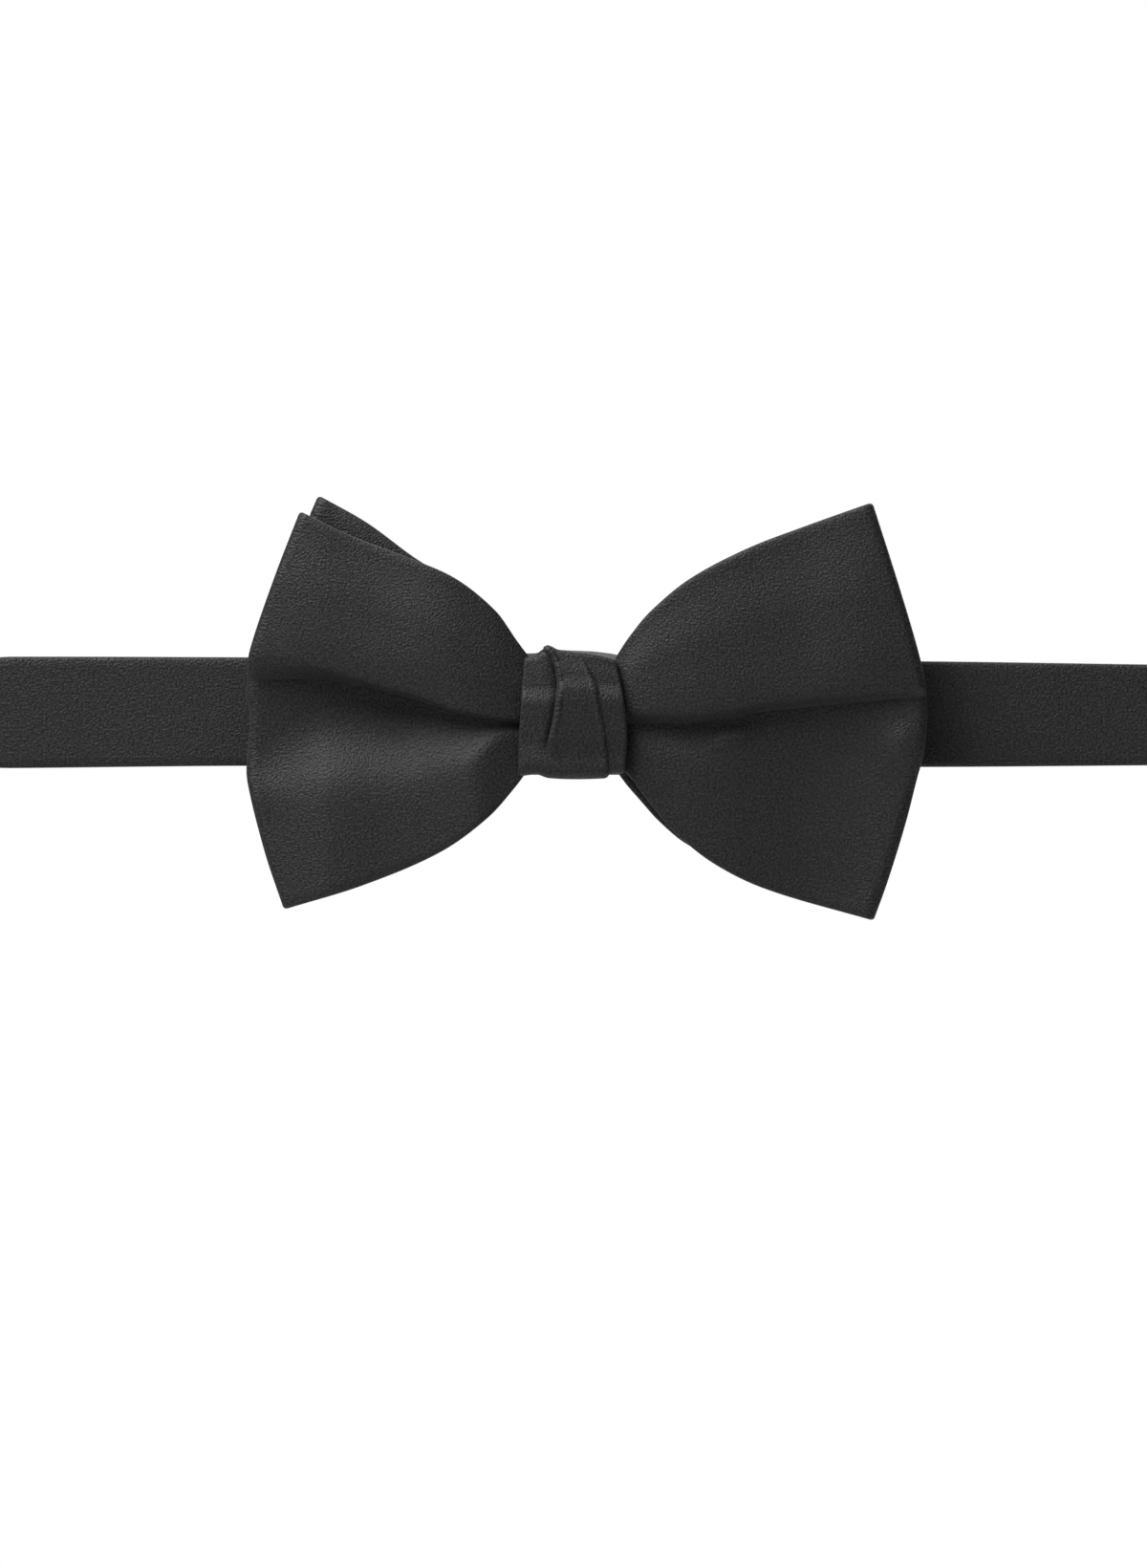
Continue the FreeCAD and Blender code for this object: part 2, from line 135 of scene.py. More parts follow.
def strip_normals(rows, closed):
    """Unit normals of the surface through rows, for each point of each row."""
    count, width = len(rows), len(rows[0])
    normals = []
    for i in range(count):
        before = rows[i - 1] if closed or i else rows[0]
        after = rows[(i + 1) % count] if closed or i < count - 1 else rows[i]
        line = []
        for j in range(width):
            along = after[j] - before[j]
            across = rows[i][min(j + 1, width - 1)] - rows[i][max(j - 1, 0)]
            line.append(along.cross(across).normalized())
        normals.append(line)
    return normals


def thick_strip(name, rows, half, closed, material, rim=4):
    """Strip of cloth with rounded edges about a middle surface.

    rows run across the strip, one after another along it; half is half the thickness,
    as one number or one for each row. A closed strip joins its last row to its first.
    rim is the number of steps round each rounded edge.
    """
    halves = half if isinstance(half, list) else [half] * len(rows)
    normals = strip_normals(rows, closed)
    count, width = len(rows), len(rows[0])
    points, across_uv = [], []
    for i, row in enumerate(rows):
        ring, positions, half = [], [], halves[i]
        distance = [0.0]
        for j in range(1, width):
            distance.append(distance[-1] + (row[j] - row[j - 1]).length)
        middle = distance[-1] / 2
        for j in range(width):
            ring.append(row[j] + normals[i][j] * half)
            positions.append(distance[j] - middle)
        for edge, step in ((width - 1, 1), (0, -1)):
            inner = row[edge - step]
            outwards = row[edge] - inner
            outwards -= normals[i][edge] * outwards.dot(normals[i][edge])
            outwards.normalize()
            for k in range(1, rim):
                angle = math.pi * k / rim
                lift = step * math.cos(angle)
                ring.append(row[edge] + (outwards * math.sin(angle) + normals[i][edge] * lift) * half)
                positions.append((distance[edge] - middle) + step * half * math.sin(angle))
            if step > 0:
                for j in range(width - 1, -1, -1):
                    ring.append(row[j] - normals[i][j] * half)
                    positions.append(distance[j] - middle)
        points.extend(ring)
        across_uv.append(positions)
    ring_size = 2 * width + 2 * (rim - 1)
    along = [0.0]
    centre = width // 2
    for i in range(1, count + 1):
        along.append(along[-1] + (rows[i % count][centre] - rows[i - 1][centre]).length)
    faces, uvs = [], []
    for i in range(count if closed else count - 1):
        following = (i + 1) % count
        for j in range(ring_size):
            k = (j + 1) % ring_size
            faces.append((i * ring_size + j, i * ring_size + k,
                          following * ring_size + k, following * ring_size + j))
            uvs.append(((along[i], across_uv[i][j]), (along[i], across_uv[i][k]),
                        (along[i + 1], across_uv[following][k]),
                        (along[i + 1], across_uv[following][j])))
    if not closed:
        for i, order in ((0, -1), (count - 1, 1)):
            corners = [i * ring_size + j for j in range(ring_size)][::order]
            faces.append(tuple(corners))
            uvs.append(tuple((along[i], across_uv[i][c - i * ring_size]) for c in corners))
    return make_mesh(name, points, faces, uvs, material)


# ---- materials -------------------------------------------------------------------
NOISE_SPREAD = (0.3, 0.7)    # where most of a noise texture's values lie


def new_material(name):
    material = bpy.data.materials.new(name)
    material.use_nodes = True
    nodes, links = material.node_tree.nodes, material.node_tree.links
    return material, nodes, links, nodes["Principled BSDF"]


def cloth_material(name, colour, roughness, shine, sheen, grain, bump, coordinates="UV"):
    """Woven cloth: grain of the yarns and cloudy gloss, both sized in cloth millimetres."""
    material, nodes, links, shader = new_material(name)
    shader.inputs["Specular IOR Level"].default_value = shine
    shader.inputs["Sheen Weight"].default_value = sheen
    shader.inputs["Sheen Roughness"].default_value = 0.45
    shader.inputs["Sheen Tint"].default_value = (0.9, 0.93, 1.0, 1.0)
    place = nodes.new("ShaderNodeTexCoord")
    scale = 1.0 if coordinates == "UV" else 1 / MM

    def grain_noise(stretch, detail):
        mapping = nodes.new("ShaderNodeMapping")
        mapping.inputs["Scale"].default_value = tuple(scale * s for s in stretch)
        texture = nodes.new("ShaderNodeTexNoise")
        texture.inputs["Scale"].default_value = 1.0
        texture.inputs["Detail"].default_value = detail
        links.new(place.outputs[coordinates], mapping.inputs["Vector"])
        links.new(mapping.outputs["Vector"], texture.inputs["Vector"])
        return texture

    yarn = grain_noise((2.4, 2.5, 2.5), 1.0)
    cloud = grain_noise((0.09, 0.12, 0.12), 2.0)
    ramp = nodes.new("ShaderNodeValToRGB")
    for element, position, strength in zip(ramp.color_ramp.elements, NOISE_SPREAD, (1 - grain, 1 + grain)):
        element.position = position
        element.color = (*[c * strength for c in colour], 1)
    links.new(yarn.outputs["Fac"], ramp.inputs["Fac"])
    links.new(ramp.outputs["Color"], shader.inputs["Base Color"])
    rough = nodes.new("ShaderNodeMapRange")
    rough.inputs["From Min"].default_value, rough.inputs["From Max"].default_value = NOISE_SPREAD
    rough.inputs["To Min"].default_value = roughness - 0.05
    rough.inputs["To Max"].default_value = roughness + 0.05
    links.new(cloud.outputs["Fac"], rough.inputs["Value"])
    links.new(rough.outputs["Result"], shader.inputs["Roughness"])
    relief = nodes.new("ShaderNodeBump")
    relief.inputs["Strength"].default_value = bump
    relief.inputs["Distance"].default_value = 0.1 * MM
    links.new(yarn.outputs["Fac"], relief.inputs["Height"])
    links.new(relief.outputs["Normal"], shader.inputs["Normal"])
    return material


def metal_material(name, colour, roughness):
    """Nickel-plated stamping with faint polishing marks."""
    material, nodes, links, shader = new_material(name)
    shader.inputs["Metallic"].default_value = 1.0
    shader.inputs["Base Color"].default_value = (*colour, 1)
    place = nodes.new("ShaderNodeTexCoord")
    mapping = nodes.new("ShaderNodeMapping")
    mapping.inputs["Scale"].default_value = (0.4 / MM, 0.4 / MM, 3.0 / MM)
    texture = nodes.new("ShaderNodeTexNoise")
    texture.inputs["Scale"].default_value = 1.0
    texture.inputs["Detail"].default_value = 3.0
    rough = nodes.new("ShaderNodeMapRange")
    rough.inputs["To Min"].default_value = roughness - 0.08
    rough.inputs["To Max"].default_value = roughness + 0.12
    relief = nodes.new("ShaderNodeBump")
    relief.inputs["Strength"].default_value = 0.15
    relief.inputs["Distance"].default_value = 0.02 * MM
    links.new(place.outputs["Object"], mapping.inputs["Vector"])
    links.new(mapping.outputs["Vector"], texture.inputs["Vector"])
    links.new(texture.outputs["Fac"], rough.inputs["Value"])
    links.new(rough.outputs["Result"], shader.inputs["Roughness"])
    links.new(texture.outputs["Fac"], relief.inputs["Height"])
    links.new(relief.outputs["Normal"], shader.inputs["Normal"])
    return material


SATIN = cloth_material("satin_cloth", (0.019, 0.019, 0.0195), 0.56, 0.4, 0.06, 0.9, 2.2)
CANVAS = cloth_material("interlining_canvas", (0.6, 0.58, 0.52), 0.9, 0.3, 0.0, 0.15, 0.6)
THREAD = cloth_material("thread_twist", (0.016, 0.016, 0.017), 0.6, 0.4, 0.1, 0.3, 0.6, "Object")
TAPE = cloth_material("label_tape_weave", (0.035, 0.035, 0.037), 0.7, 0.4, 0.1, 0.25, 0.8)
METAL = metal_material("nickel_plate", (0.62, 0.61, 0.59), 0.28)


# ---- bow -------------------------------------------------------------------------
# Each wing is drawn in (a, z): a is the distance out from the middle of the knot. Its top
# and foot edges and its crease give z at each a, and its folded end, outer, gives a at each z.
WAIST_A = 7.4                # where the wings go in under the knot
CLOTH_HALF = 0.6             # half the thickness of a strip of satin and interlining
FOLD_TIGHT = 1.1             # radius of the folded ends
FOLD_ROOM = 2.0              # drawn in by this, both runs show how far apart the fold holds them
FRONT_TIER_REAR = 8.2        # depth of the front tier's rear run
BACK_TIER_REAR = 2.1

LEFT_FRONT = {
    "side": -1,
    "top": curve([(WAIST_A, 8.6), (10.1, 12.3), (13.4, 17.1), (20.2, 22.8), (28.5, 26.6), (38.4, 30.5),
                  (47.4, 35.0)]),
    "foot": curve([(WAIST_A, -8.6), (10.1, -12.3), (15.1, -17.9), (23.5, -24.0), (37.0, -29.8),
                   (50.6, -34.0)]),
    "outer": curve([(-34.0, 51.2), (-24.3, 54.5), (-11.9, 57.6), (-8.0, 57.7), (-2.0, 57.2), (1.4, 57.3),
                    (3.2, 57.8), (6.5, 57.6), (11.0, 57.0), (23.6, 52.6), (34.7, 48.2)]),
    "crease": curve([(WAIST_A, -1.9), (20.2, 0.0), (28.6, 2.7), (37.0, 4.7), (45.4, 5.9), (53.8, 5.8),
                     (60, 5.4)]),
}
RIGHT_FRONT = {
    "side": 1,
    "top": curve([(WAIST_A, 8.9), (10.1, 13.1), (13.4, 17.1), (20.2, 22.8), (30.3, 28.2), (40.3, 32.1),
                  (52.0, 36.3)]),
    "foot": curve([(WAIST_A, -8.6), (9.8, -10.6), (13.0, -14.9), (17.5, -20.3), (24.4, -26.0),
                   (33.6, -30.6), (52.3, -36.2)]),
    "outer": curve([(-36.2, 53.0), (-29.3, 55.5), (-19.2, 58.6), (-11.7, 60.5), (-6.9, 61.7), (-0.5, 62.3),
                    (4.7, 61.9), (11.0, 60.5), (23.6, 56.7), (36.4, 52.6)]),
    "crease": curve([(WAIST_A, -1.8), (21.8, -1.7), (28.0, -0.9), (34.0, 0.2), (40.0, 0.8), (46.0, 1.4),
                     (53.8, 2.1), (62, 2.5)]),
}
LEFT_BACK = {
    "side": -1,
    "top": curve([(WAIST_A, 8.2), (13.4, 16.3), (20.2, 22.0), (27.8, 27.0), (35.7, 33.0), (43.9, 37.8)]),
    "foot": curve([(WAIST_A, -8.2), (13.4, -15.2), (23.5, -23.4), (37.0, -29.0), (48.0, -32.2)]),
    "outer": curve([(-32.2, 48.6), (-12.0, 55.0), (0.0, 55.6), (12.0, 54.2), (30.0, 48.0), (35.0, 46.4),
                    (37.8, 45.1)]),
    "crease": curve([(WAIST_A, 0.0), (60, 1.0)]),
}
RIGHT_BACK = {
    "side": 1,
    "top": curve([(WAIST_A, 8.2), (13.4, 16.3), (20.2, 22.0), (30.3, 27.2), (49.0, 33.6)]),
    "foot": curve([(WAIST_A, -9.4), (9.2, -11.9), (11.8, -14.9), (15.1, -18.6), (20.2, -22.8),
                   (33.6, -29.2), (49.0, -33.8)]),
    "outer": curve([(-33.8, 49.6), (-12.0, 57.6), (0.0, 59.2), (12.0, 57.4), (33.6, 49.6)]),
    "crease": curve([(WAIST_A, 0.0), (60, 0.5)]),
}

# Depth of a front wing's crests, and how far its crease lies behind them, at each a. On the
# left the crease has a flat shelf below it, and the lower lobe is full again at the basin.
LEFT_SWELL = curve([(WAIST_A, 12.3), (13, 13.8), (17, 14.6), (21, 14.9), (26, 14.8), (31, 14.6), (37, 14.3),
                    (43, 13.7), (49, 12.9), (54, 12.2), (58, 11.7)])
LEFT_VALLEY = curve([(WAIST_A, 1.8), (13, 2.3), (18, 3.4), (24, 4.8), (30, 6.0), (37, 6.3), (45, 5.2),
                     (54, 3.6), (58, 2.8)])
LEFT_SHELF = curve([(WAIST_A, 0.0), (18, 0.2), (24, 1.0), (30, 1.6), (36, 2.6), (42, 4.2), (48, 7.0),
                    (54, 11), (60, 12)])
LEFT_BASIN = curve([(WAIST_A, 3), (13, 4.4), (18, 11), (24, 15.5), (30, 20), (36, 22), (42, 23), (54, 25),
                    (60, 25)])
RIGHT_SWELL = curve([(WAIST_A, 11.6), (10, 12.8), (13, 13.5), (17, 14.0), (22, 14.4), (28, 14.5),
                     (34, 14.4), (40, 14.4), (46, 14.6), (52, 14.6), (58, 14.3), (62, 14.1)])
RIGHT_VALLEY = curve([(WAIST_A, 2.1), (15, 3.4), (25, 4.0), (38, 3.9), (48, 3.4), (56, 2.3), (62, 1.4)])

# The depth functions share their arguments: u runs from the waist (0) to the folded end (1),
# w from the foot (-1) by the crease (0) to the top (1), drop is the height above the crease,
# and end_a is where the folded end lies at that w.


def left_front_depth(u, w, a, z, drop, end_a):
    """Upper lobe hangs over a wide valley that opens out towards the folded end."""
    depth = LEFT_SWELL(a)
    valley = LEFT_VALLEY(a)
    roll = 0.16 * valley
    if w >= 0:
        # a slow wave along the lobe, its lip rolling over the crease, and its eased top edge
        lip = mix(0.8, 4.2, smooth((u - 0.5) / 0.5))
        wave = math.cos(2 * math.pi * (a - 24) / 23)
        depth += 0.35 * wave * smooth((a - 14) / 8) * smooth(drop / 12)
        depth -= (valley - roll) * (1 - smooth(drop / lip))
        depth -= roll * (1 - clamp(drop / 8)) ** 2
        depth -= 0.9 * smooth((w - 0.55) / 0.45)
    else:
        # the shelf, the slope up to the lower lobe, and the lobe's eased foot and corner
        shelf, basin = LEFT_SHELF(a), LEFT_BASIN(a)
        share = clamp((-drop - shelf) / (basin - shelf))
        rise = share - math.sin(2 * math.pi * share) / (2 * math.pi)
        steepness = (0.25 - 0.065 * smooth((a - 13) / 8) + 0.025 * bell(a, 40.0, 6.0)
                     - 0.05 * smooth((a - 43) / 7))
        depth -= valley + 0.09 * min(-drop, shelf)
        depth += min(steepness * (basin - shelf), 0.85 * valley) * rise
        depth -= 0.2 * smooth(u / 0.4) * clamp((-drop - basin) / 12) ** 1.5
        depth -= 0.7 * smooth((a - 48) / 7) * smooth((-z - 12) / 8)
    return depth


def right_front_depth(u, w, a, z, drop, end_a):
    """Both lobes meet in a pressed fold that fades out near the folded end."""
    depth = RIGHT_SWELL(a)
    valley = RIGHT_VALLEY(a)
    if w >= 0:
        # fuller towards the end, a tight lip over the crease, and the eased top edge
        depth += 0.5 * smooth((a - 40) / 12) * smooth(drop / 10)
        depth -= 0.85 * valley * (1 - smooth(drop / 2.3))
        depth -= 0.15 * valley * (1 - clamp(drop / 7)) ** 2
        depth -= 0.9 * smooth((w - 0.55) / 0.45)
    else:
        # the lower lobe's slope and foot, a small pucker below the crease, and one at the end
        rise = smooth(-drop / mix(6.0, 13.0, u))
        depth -= valley * (1 - mix(0.3, -0.35, smooth((a - 22) / 30)) * rise)
        depth -= 1.9 * smooth(u / 0.4) * clamp(-drop / 34) ** 1.2
        depth += 0.6 * bell(a, 28.0, 3.2) * bell(drop, -3.8, 1.5)
        depth += 1.25 * bell(a, 58.0, 3.4) * bell(z, -5.8, 3.8)
    return depth


def towards_end(a, end_a):
    """0 along most of a wing, rising to 1 just before its folded end."""
    return clamp((a - (end_a - 16)) / 14) ** 2


def hollow_behind(u, z):
    """Share of the room that the cloth leaves behind it for the tier or strap at mid height."""
    return smooth(u / 0.3) * bell(z, -1.0, 8.5)


def back_front_depth(u, w, a, z, drop, end_a):
    """The back tier lies almost flat, pressed down where the front tier swells behind."""
    return mix(6.4, 5.4, towards_end(a, end_a)) - 1.6 * hollow_behind(u, z)


def rear_depth(level, front_depth, hollow):
    """Run of cloth behind a wing's front cloth, which it meets in the fold at the end."""
    def depth(u, w, a, z, drop, end_a):
        at_fold = front_depth(1.0, w, end_a, z, drop, end_a) - 2 * FOLD_TIGHT
        return mix(level - hollow * hollow_behind(u, z), at_fold, towards_end(a, end_a))
    return depth


def corner_reach(wing, edge):
    """How far out a wing's top or foot edge runs before it meets the folded end."""
    return max(a for a in range(40, 60) if wing["outer"](wing[edge](a)) >= a) + 0.3


def wing_rows(wing, front_depth, back_depth, steps, rows_up, turn_steps, inset=0.0):
    """Rows of one wing from the waist out along the front, round the fold and back.

    steps counts the rows along a run, rows_up the spans from the crease to either edge,
    and turn_steps those round the fold. inset draws the two long edges in.
    """
    reach = {edge: corner_reach(wing, edge) for edge in ("top", "foot")}
    crease_end = wing["crease"](wing["outer"](wing["crease"](57)))

    def spot(u, w, depth_of, pull):
        """Point at (u, w) on one run, whose folded end is drawn in by pull."""
        edge, inward = ("top", -inset) if w >= 0 else ("foot", inset)
        corner_a = reach[edge] - pull
        end_a = wing["outer"](mix(crease_end, wing[edge](corner_a), abs(w))) - pull
        a = mix(WAIST_A, end_a, u)
        edge_z = wing[edge](mix(WAIST_A, corner_a, u)) + inward
        crease_z = wing["crease"](mix(WAIST_A, wing["outer"](crease_end), u))
        z = mix(crease_z, edge_z, abs(w))
        return Vector((wing["side"] * a, -depth_of(u, w, a, z, z - crease_z, end_a), z))

    shares = [(k / rows_up) ** 1.6 for k in range(rows_up + 1)]
    shares = [-share for share in reversed(shares[1:])] + shares
    fold_radius = [(spot(1.0, w, back_depth, FOLD_ROOM).y - spot(1.0, w, front_depth, FOLD_ROOM).y) / 2
                   for w in shares]

    def run(depth_of):
        return [[spot(i / steps, w, depth_of, radius + CLOTH_HALF) for w, radius in zip(shares, fold_radius)]
                for i in range(steps + 1)]

    front_rows, back_rows, turn_rows = run(front_depth), run(back_depth), []
    for k in range(1, turn_steps):
        angle = math.pi * k / turn_steps
        row = []
        for before, start, end, radius in zip(front_rows[-3], front_rows[-1], back_rows[-1], fold_radius):
            middle = (start + end) / 2
            slope = (start.z - before.z) / abs(start.x - before.x)
            out = Vector((wing["side"], 0, slope)) * (radius * math.sin(angle))
            row.append(middle + out + (start - middle) * math.cos(angle))
        turn_rows.append(row)
    return front_rows + turn_rows + back_rows[::-1]


def rows_between(start, end, count=10):
    """The rows inside the gathered waist, between two rows."""
    return [[mix(p, q, k / count) for p, q in zip(start, end)] for k in range(1, count)]


def bow_loop(left, right, detail, inset=0.0):
    """Closed loop of rows: right wing, waist behind, left wing, waist in front.

    Each side is its outline, the depth of its front cloth and the depth of its back cloth.
    """
    right_rows = wing_rows(*right, *detail, inset)
    left_rows = wing_rows(*left, *detail, inset)[::-1]
    return (right_rows + rows_between(right_rows[-1], left_rows[0]) + left_rows
            + rows_between(left_rows[-1], right_rows[0]))


# Steps along a run, spans from the crease to an edge, and steps round the fold.
FINE = (64, 40, 10)
MEDIUM = (40, 24, 8)
COARSE = (30, 16, 6)
CANVAS_INSET = 1.0           # the interlining stops short of the satin's edges


def make_bow():
    """Front and back tier, each a folded loop of satin with its interlining inside."""
    front = ((LEFT_FRONT, left_front_depth, rear_depth(FRONT_TIER_REAR, left_front_depth, 1.8)),
             (RIGHT_FRONT, right_front_depth, rear_depth(FRONT_TIER_REAR, right_front_depth, 0.9)))
    plain_rear = rear_depth(BACK_TIER_REAR, back_front_depth, 0.0)
    back = ((LEFT_BACK, back_front_depth, plain_rear), (RIGHT_BACK, back_front_depth, plain_rear))
    for tier, sides, detail, flat, area in (("front", front, FINE, (0.077, 0.2435), 0.0120),
                                            ("back", back, MEDIUM, (0.074, 0.230), 0.0106)):
        satin = thick_strip(f"{tier}_bow", bow_loop(*sides, detail), CLOTH_HALF, True, SATIN)
        canvas = thick_strip(f"{tier}_bow_canvas", bow_loop(*sides, COARSE, CANVAS_INSET), 0.2, True, CANVAS)
        for piece, part, slot in ((satin, "satin", "black_satin"), (canvas, "interlining", "interlining")):
            finish_piece(piece, "bow", slot, f"{tier}_bow_{part}")


# ---- knot ------------------------------------------------------------------------
def rounded_loop(corners, spacing):
    """Evenly spaced points round a closed outline of (a, b, radius) corners."""
    path = []
    spots = [Vector((a, b)) for a, b, _ in corners]
    for i, (_, _, radius) in enumerate(corners):
        corner = spots[i]
        to_before = (spots[i - 1] - corner).normalized()
        to_after = (spots[(i + 1) % len(spots)] - corner).normalized()
        half = to_before.angle(to_after) / 2
        reach = radius / math.tan(half)
        start, end = corner + to_before * reach, corner + to_after * reach
        centre = corner + (to_before + to_after).normalized() * (radius / math.sin(half))
        for k in range(13):
            direction = mix(start - centre, end - centre, k / 12).normalized()
            path.append(centre + direction * radius)
    lengths = [0.0]
    for i in range(len(path)):
        lengths.append(lengths[-1] + (path[(i + 1) % len(path)] - path[i]).length)
    count = round(lengths[-1] / spacing)
    points, i = [], 0
    for k in range(count):
        target = lengths[-1] * k / count
        while lengths[i + 1] < target:
            i += 1
        t = (target - lengths[i]) / max(lengths[i + 1] - lengths[i], 1e-9)
        points.append(mix(path[i], path[(i + 1) % len(path)], t))
    return points


# x of the wrap's two edges and two folds at each height, and how far its rolled top and
# foot stand above or below the plain section at each x.
KNOT_LEFT = curve([(-11.0, -9.3), (-4.0, -9.1), (4.0, -8.6), (10.5, -8.2)])
KNOT_RIGHT = curve([(-11.0, 8.6), (-4.3, 9.0), (1.3, 8.5), (10.0, 7.1)])
KNOT_FOLD_1 = curve([(-11.0, -4.3), (-6.4, -4.1), (-4.9, -4.0), (-0.4, -3.0), (4.8, -2.4), (7.3, -2.7),
                     (9.2, -3.5), (11.2, -5.4)])
KNOT_FOLD_2 = curve([(-11.0, 5.9), (-6.2, 5.6), (0.2, 4.6), (5.7, 3.3), (8.3, 2.1), (11.0, 0.8)])
KNOT_TOP = curve([(-9.0, -0.8), (-6.2, -0.6), (-5.3, 0.4), (-4.2, 0.8), (-2.8, 0.3), (-1.0, 0.1),
                  (3.4, -0.2), (5.0, -0.5), (6.7, -0.9), (8.6, -1.6)])
KNOT_FOOT = curve([(-9.5, 0.2), (-8.0, 0.5), (-6.4, 0.7), (-4.2, 0.1), (5.0, 0.0), (6.0, 0.3), (8.8, 0.4)])

# The wrap's middle surface from the side: (y, z, radius) corners.
KNOT_SECTION = [(-13.9, -10.6, 0.9), (-14.9, 2.0, 20.0), (-14.4, 10.8, 1.1), (1.5, 10.4, 1.0),
                (1.5, -10.5, 1.0)]
KNOT_CENTRE = Vector((-6.5, 0))
KNOT_HALF_WIDTH = 8.6        # behind, where the wrap lies plain
KNOT_PANEL_HALF = 3.5
KNOT_CLOTH_HALF = 0.45


def knot_lift(x, z, folds, edges, front):
    """How far the wrap stands out from its plain section: two folds and a soft cross ridge.

    front is 1 on the wrap's face and 0 behind it.
    """
    fold_1, fold_2 = folds
    left, right = edges
    # the deep fold, whose middle panel laps over the left one
    high_up = front * smooth((z + 8.5) / 4.0)
    panel = smooth((x - fold_1) / 0.3 + 0.5)
    lift = high_up * 0.8 * panel * mix(1.0, 0.55, clamp((x - fold_1) / (fold_2 - fold_1)))
    lift += high_up * (0.45 * bell(x, fold_1 + 0.22, 0.18) - 0.4 * bell(x, fold_1 - 0.55, 0.5))
    # the shallow fold, which fades out near the top
    low_down = front * (1 - smooth((z - 6.5) / 4.0))
    lift += low_down * (0.12 * bell(x, fold_2 - 0.35, 0.3) - 0.4 * smooth((x - fold_2) / 0.3 + 0.5))
    # the cross ridge, stepped at both folds, and the slopes above and below it
    ridge = 3.0 + 2.2 * smooth((x - fold_1) / 0.6) - 1.6 * smooth((x - fold_2) / 0.6)
    lift -= 0.75 * front * smooth((z - ridge + 1.6) / 3.2)
    lift -= 0.6 * front * panel * smooth((z - 6.5) / 3.5)
    lift += 0.45 * front * smooth((-z - 5.5) / 5.0)
    middle = (left + right) / 2
    return lift + 0.25 * front * (1 - ((x - middle) / (right - left) * 2) ** 2)


def knot_rows(zone=22):
    """Rows across the wrap all round its section, with zone spans in each of its panels."""
    section = rounded_loop(KNOT_SECTION, 0.4)
    rows, count = [], len(section)
    for i, spot in enumerate(section):
        y, z = spot
        tangent = (section[(i + 1) % count] - section[i - 1]).normalized()
        normal = Vector((tangent.y, -tangent.x))
        if normal.dot(spot - KNOT_CENTRE) < 0:
            normal = -normal
        front = smooth((-y - 4) / 6)
        edges = (mix(-KNOT_HALF_WIDTH, KNOT_LEFT(z), front), mix(KNOT_HALF_WIDTH, KNOT_RIGHT(z), front))
        folds = (mix(-KNOT_PANEL_HALF, KNOT_FOLD_1(z), front), mix(KNOT_PANEL_HALF, KNOT_FOLD_2(z), front))
        stops = (edges[0], *folds, edges[1])
        across = [mix(low, high, smooth(k / zone))
                  for low, high in zip(stops, stops[1:]) for k in range(zone)]
        row, forward = [], smooth((-y - 3) / 6)
        for x in across + [edges[1]]:
            lift = knot_lift(x, z, folds, edges, front)
            crown = KNOT_TOP(x) * smooth((z - 5) / 5) * mix(0.55, 1.0, forward)
            crown += KNOT_FOOT(x) * smooth((-z - 5) / 5) * forward
            row.append(Vector((x, y + normal.x * lift, z + normal.y * lift + crown)))
        rows.append(row)
    return rows


def make_knot():
    """The satin wrap, one closed loop round the waist of the bow and the neckband."""
    knot = thick_strip("knot", knot_rows(), KNOT_CLOTH_HALF, True, SATIN)
    finish_piece(knot, "bow", "black_satin", "knot_wrap_satin")


# ---- neckband --------------------------------------------------------------------
FOLD_X = 103.0               # where the band is folded back on itself
REAR_LOW, REAR_HIGH = node_box("left_rear_band_satin")
REAR_Y = (REAR_LOW.y + REAR_HIGH.y) / 2
REAR_HALF = REAR_HIGH.z
# The strap's long edges along x; it is drawn in a little under the knot.
BAND_TOP = curve([(-FOLD_X, 9.2), (-100, 9.4), (-60, 9.3), (-20, 9.0), (-9, 8.3), (9, 8.0), (20, 8.7),
                  (60, 8.6), (FOLD_X, 8.0)])
BAND_FOOT = curve([(-FOLD_X, -9.1), (-100, -9.2), (-60, -8.8), (0, -8.8), (60, -9.0), (FOLD_X, -8.7)])
CANVAS_HALF_WIDTH = 7.4
KNOT_CANVAS_Y = -12.3        # just behind the knot's face


def strap_ease(x):
    """Slight wave of the strap in front of and behind its straight line."""
    return 0.25 * math.sin(x / 17.0) * smooth((abs(x) - 8) / 20) * smooth((FOLD_X - abs(x)) / 20)


def strip_row(x, y, foot, top, lines=14):
    """Upright row of points from foot to top."""
    return [Vector((x, y, mix(foot, top, k / lines))) for k in range(lines + 1)]


def rows_along(path, foot, top, spacing=1.0):
    """Rows every spacing along an (x, y) path of straight runs."""
    rows = []
    for (x0, y0), (x1, y1) in zip(path, path[1:]):
        count = max(1, round(math.hypot(x1 - x0, y1 - y0) / spacing))
        rows += [strip_row(mix(x0, x1, k / count), mix(y0, y1, k / count), foot, top)
                 for k in range(count)]
    rows.append(strip_row(*path[-1], foot, top))
    return rows


def arc(centre, radius, start, end, steps=20):
    """Points round a centre from one angle to another; 0 degrees is along +X, 90 along +Y."""
    points = []
    for k in range(steps + 1):
        angle = math.radians(mix(start, end, k / steps))
        points.append((centre[0] + radius * math.cos(angle), centre[1] + radius * math.sin(angle)))
    return points


def smooth_path(points, spacing=0.5):
    """Dense (x, y) points on a smooth curve through a few."""
    lengths = [0.0]
    for p, q in zip(points, points[1:]):
        lengths.append(lengths[-1] + math.dist(p, q))
    x_at = curve([(d, p[0]) for d, p in zip(lengths, points)])
    y_at = curve([(d, p[1]) for d, p in zip(lengths, points)])
    count = round(lengths[-1] / spacing)
    return [(x_at(lengths[-1] * k / count), y_at(lengths[-1] * k / count)) for k in range(count + 1)]


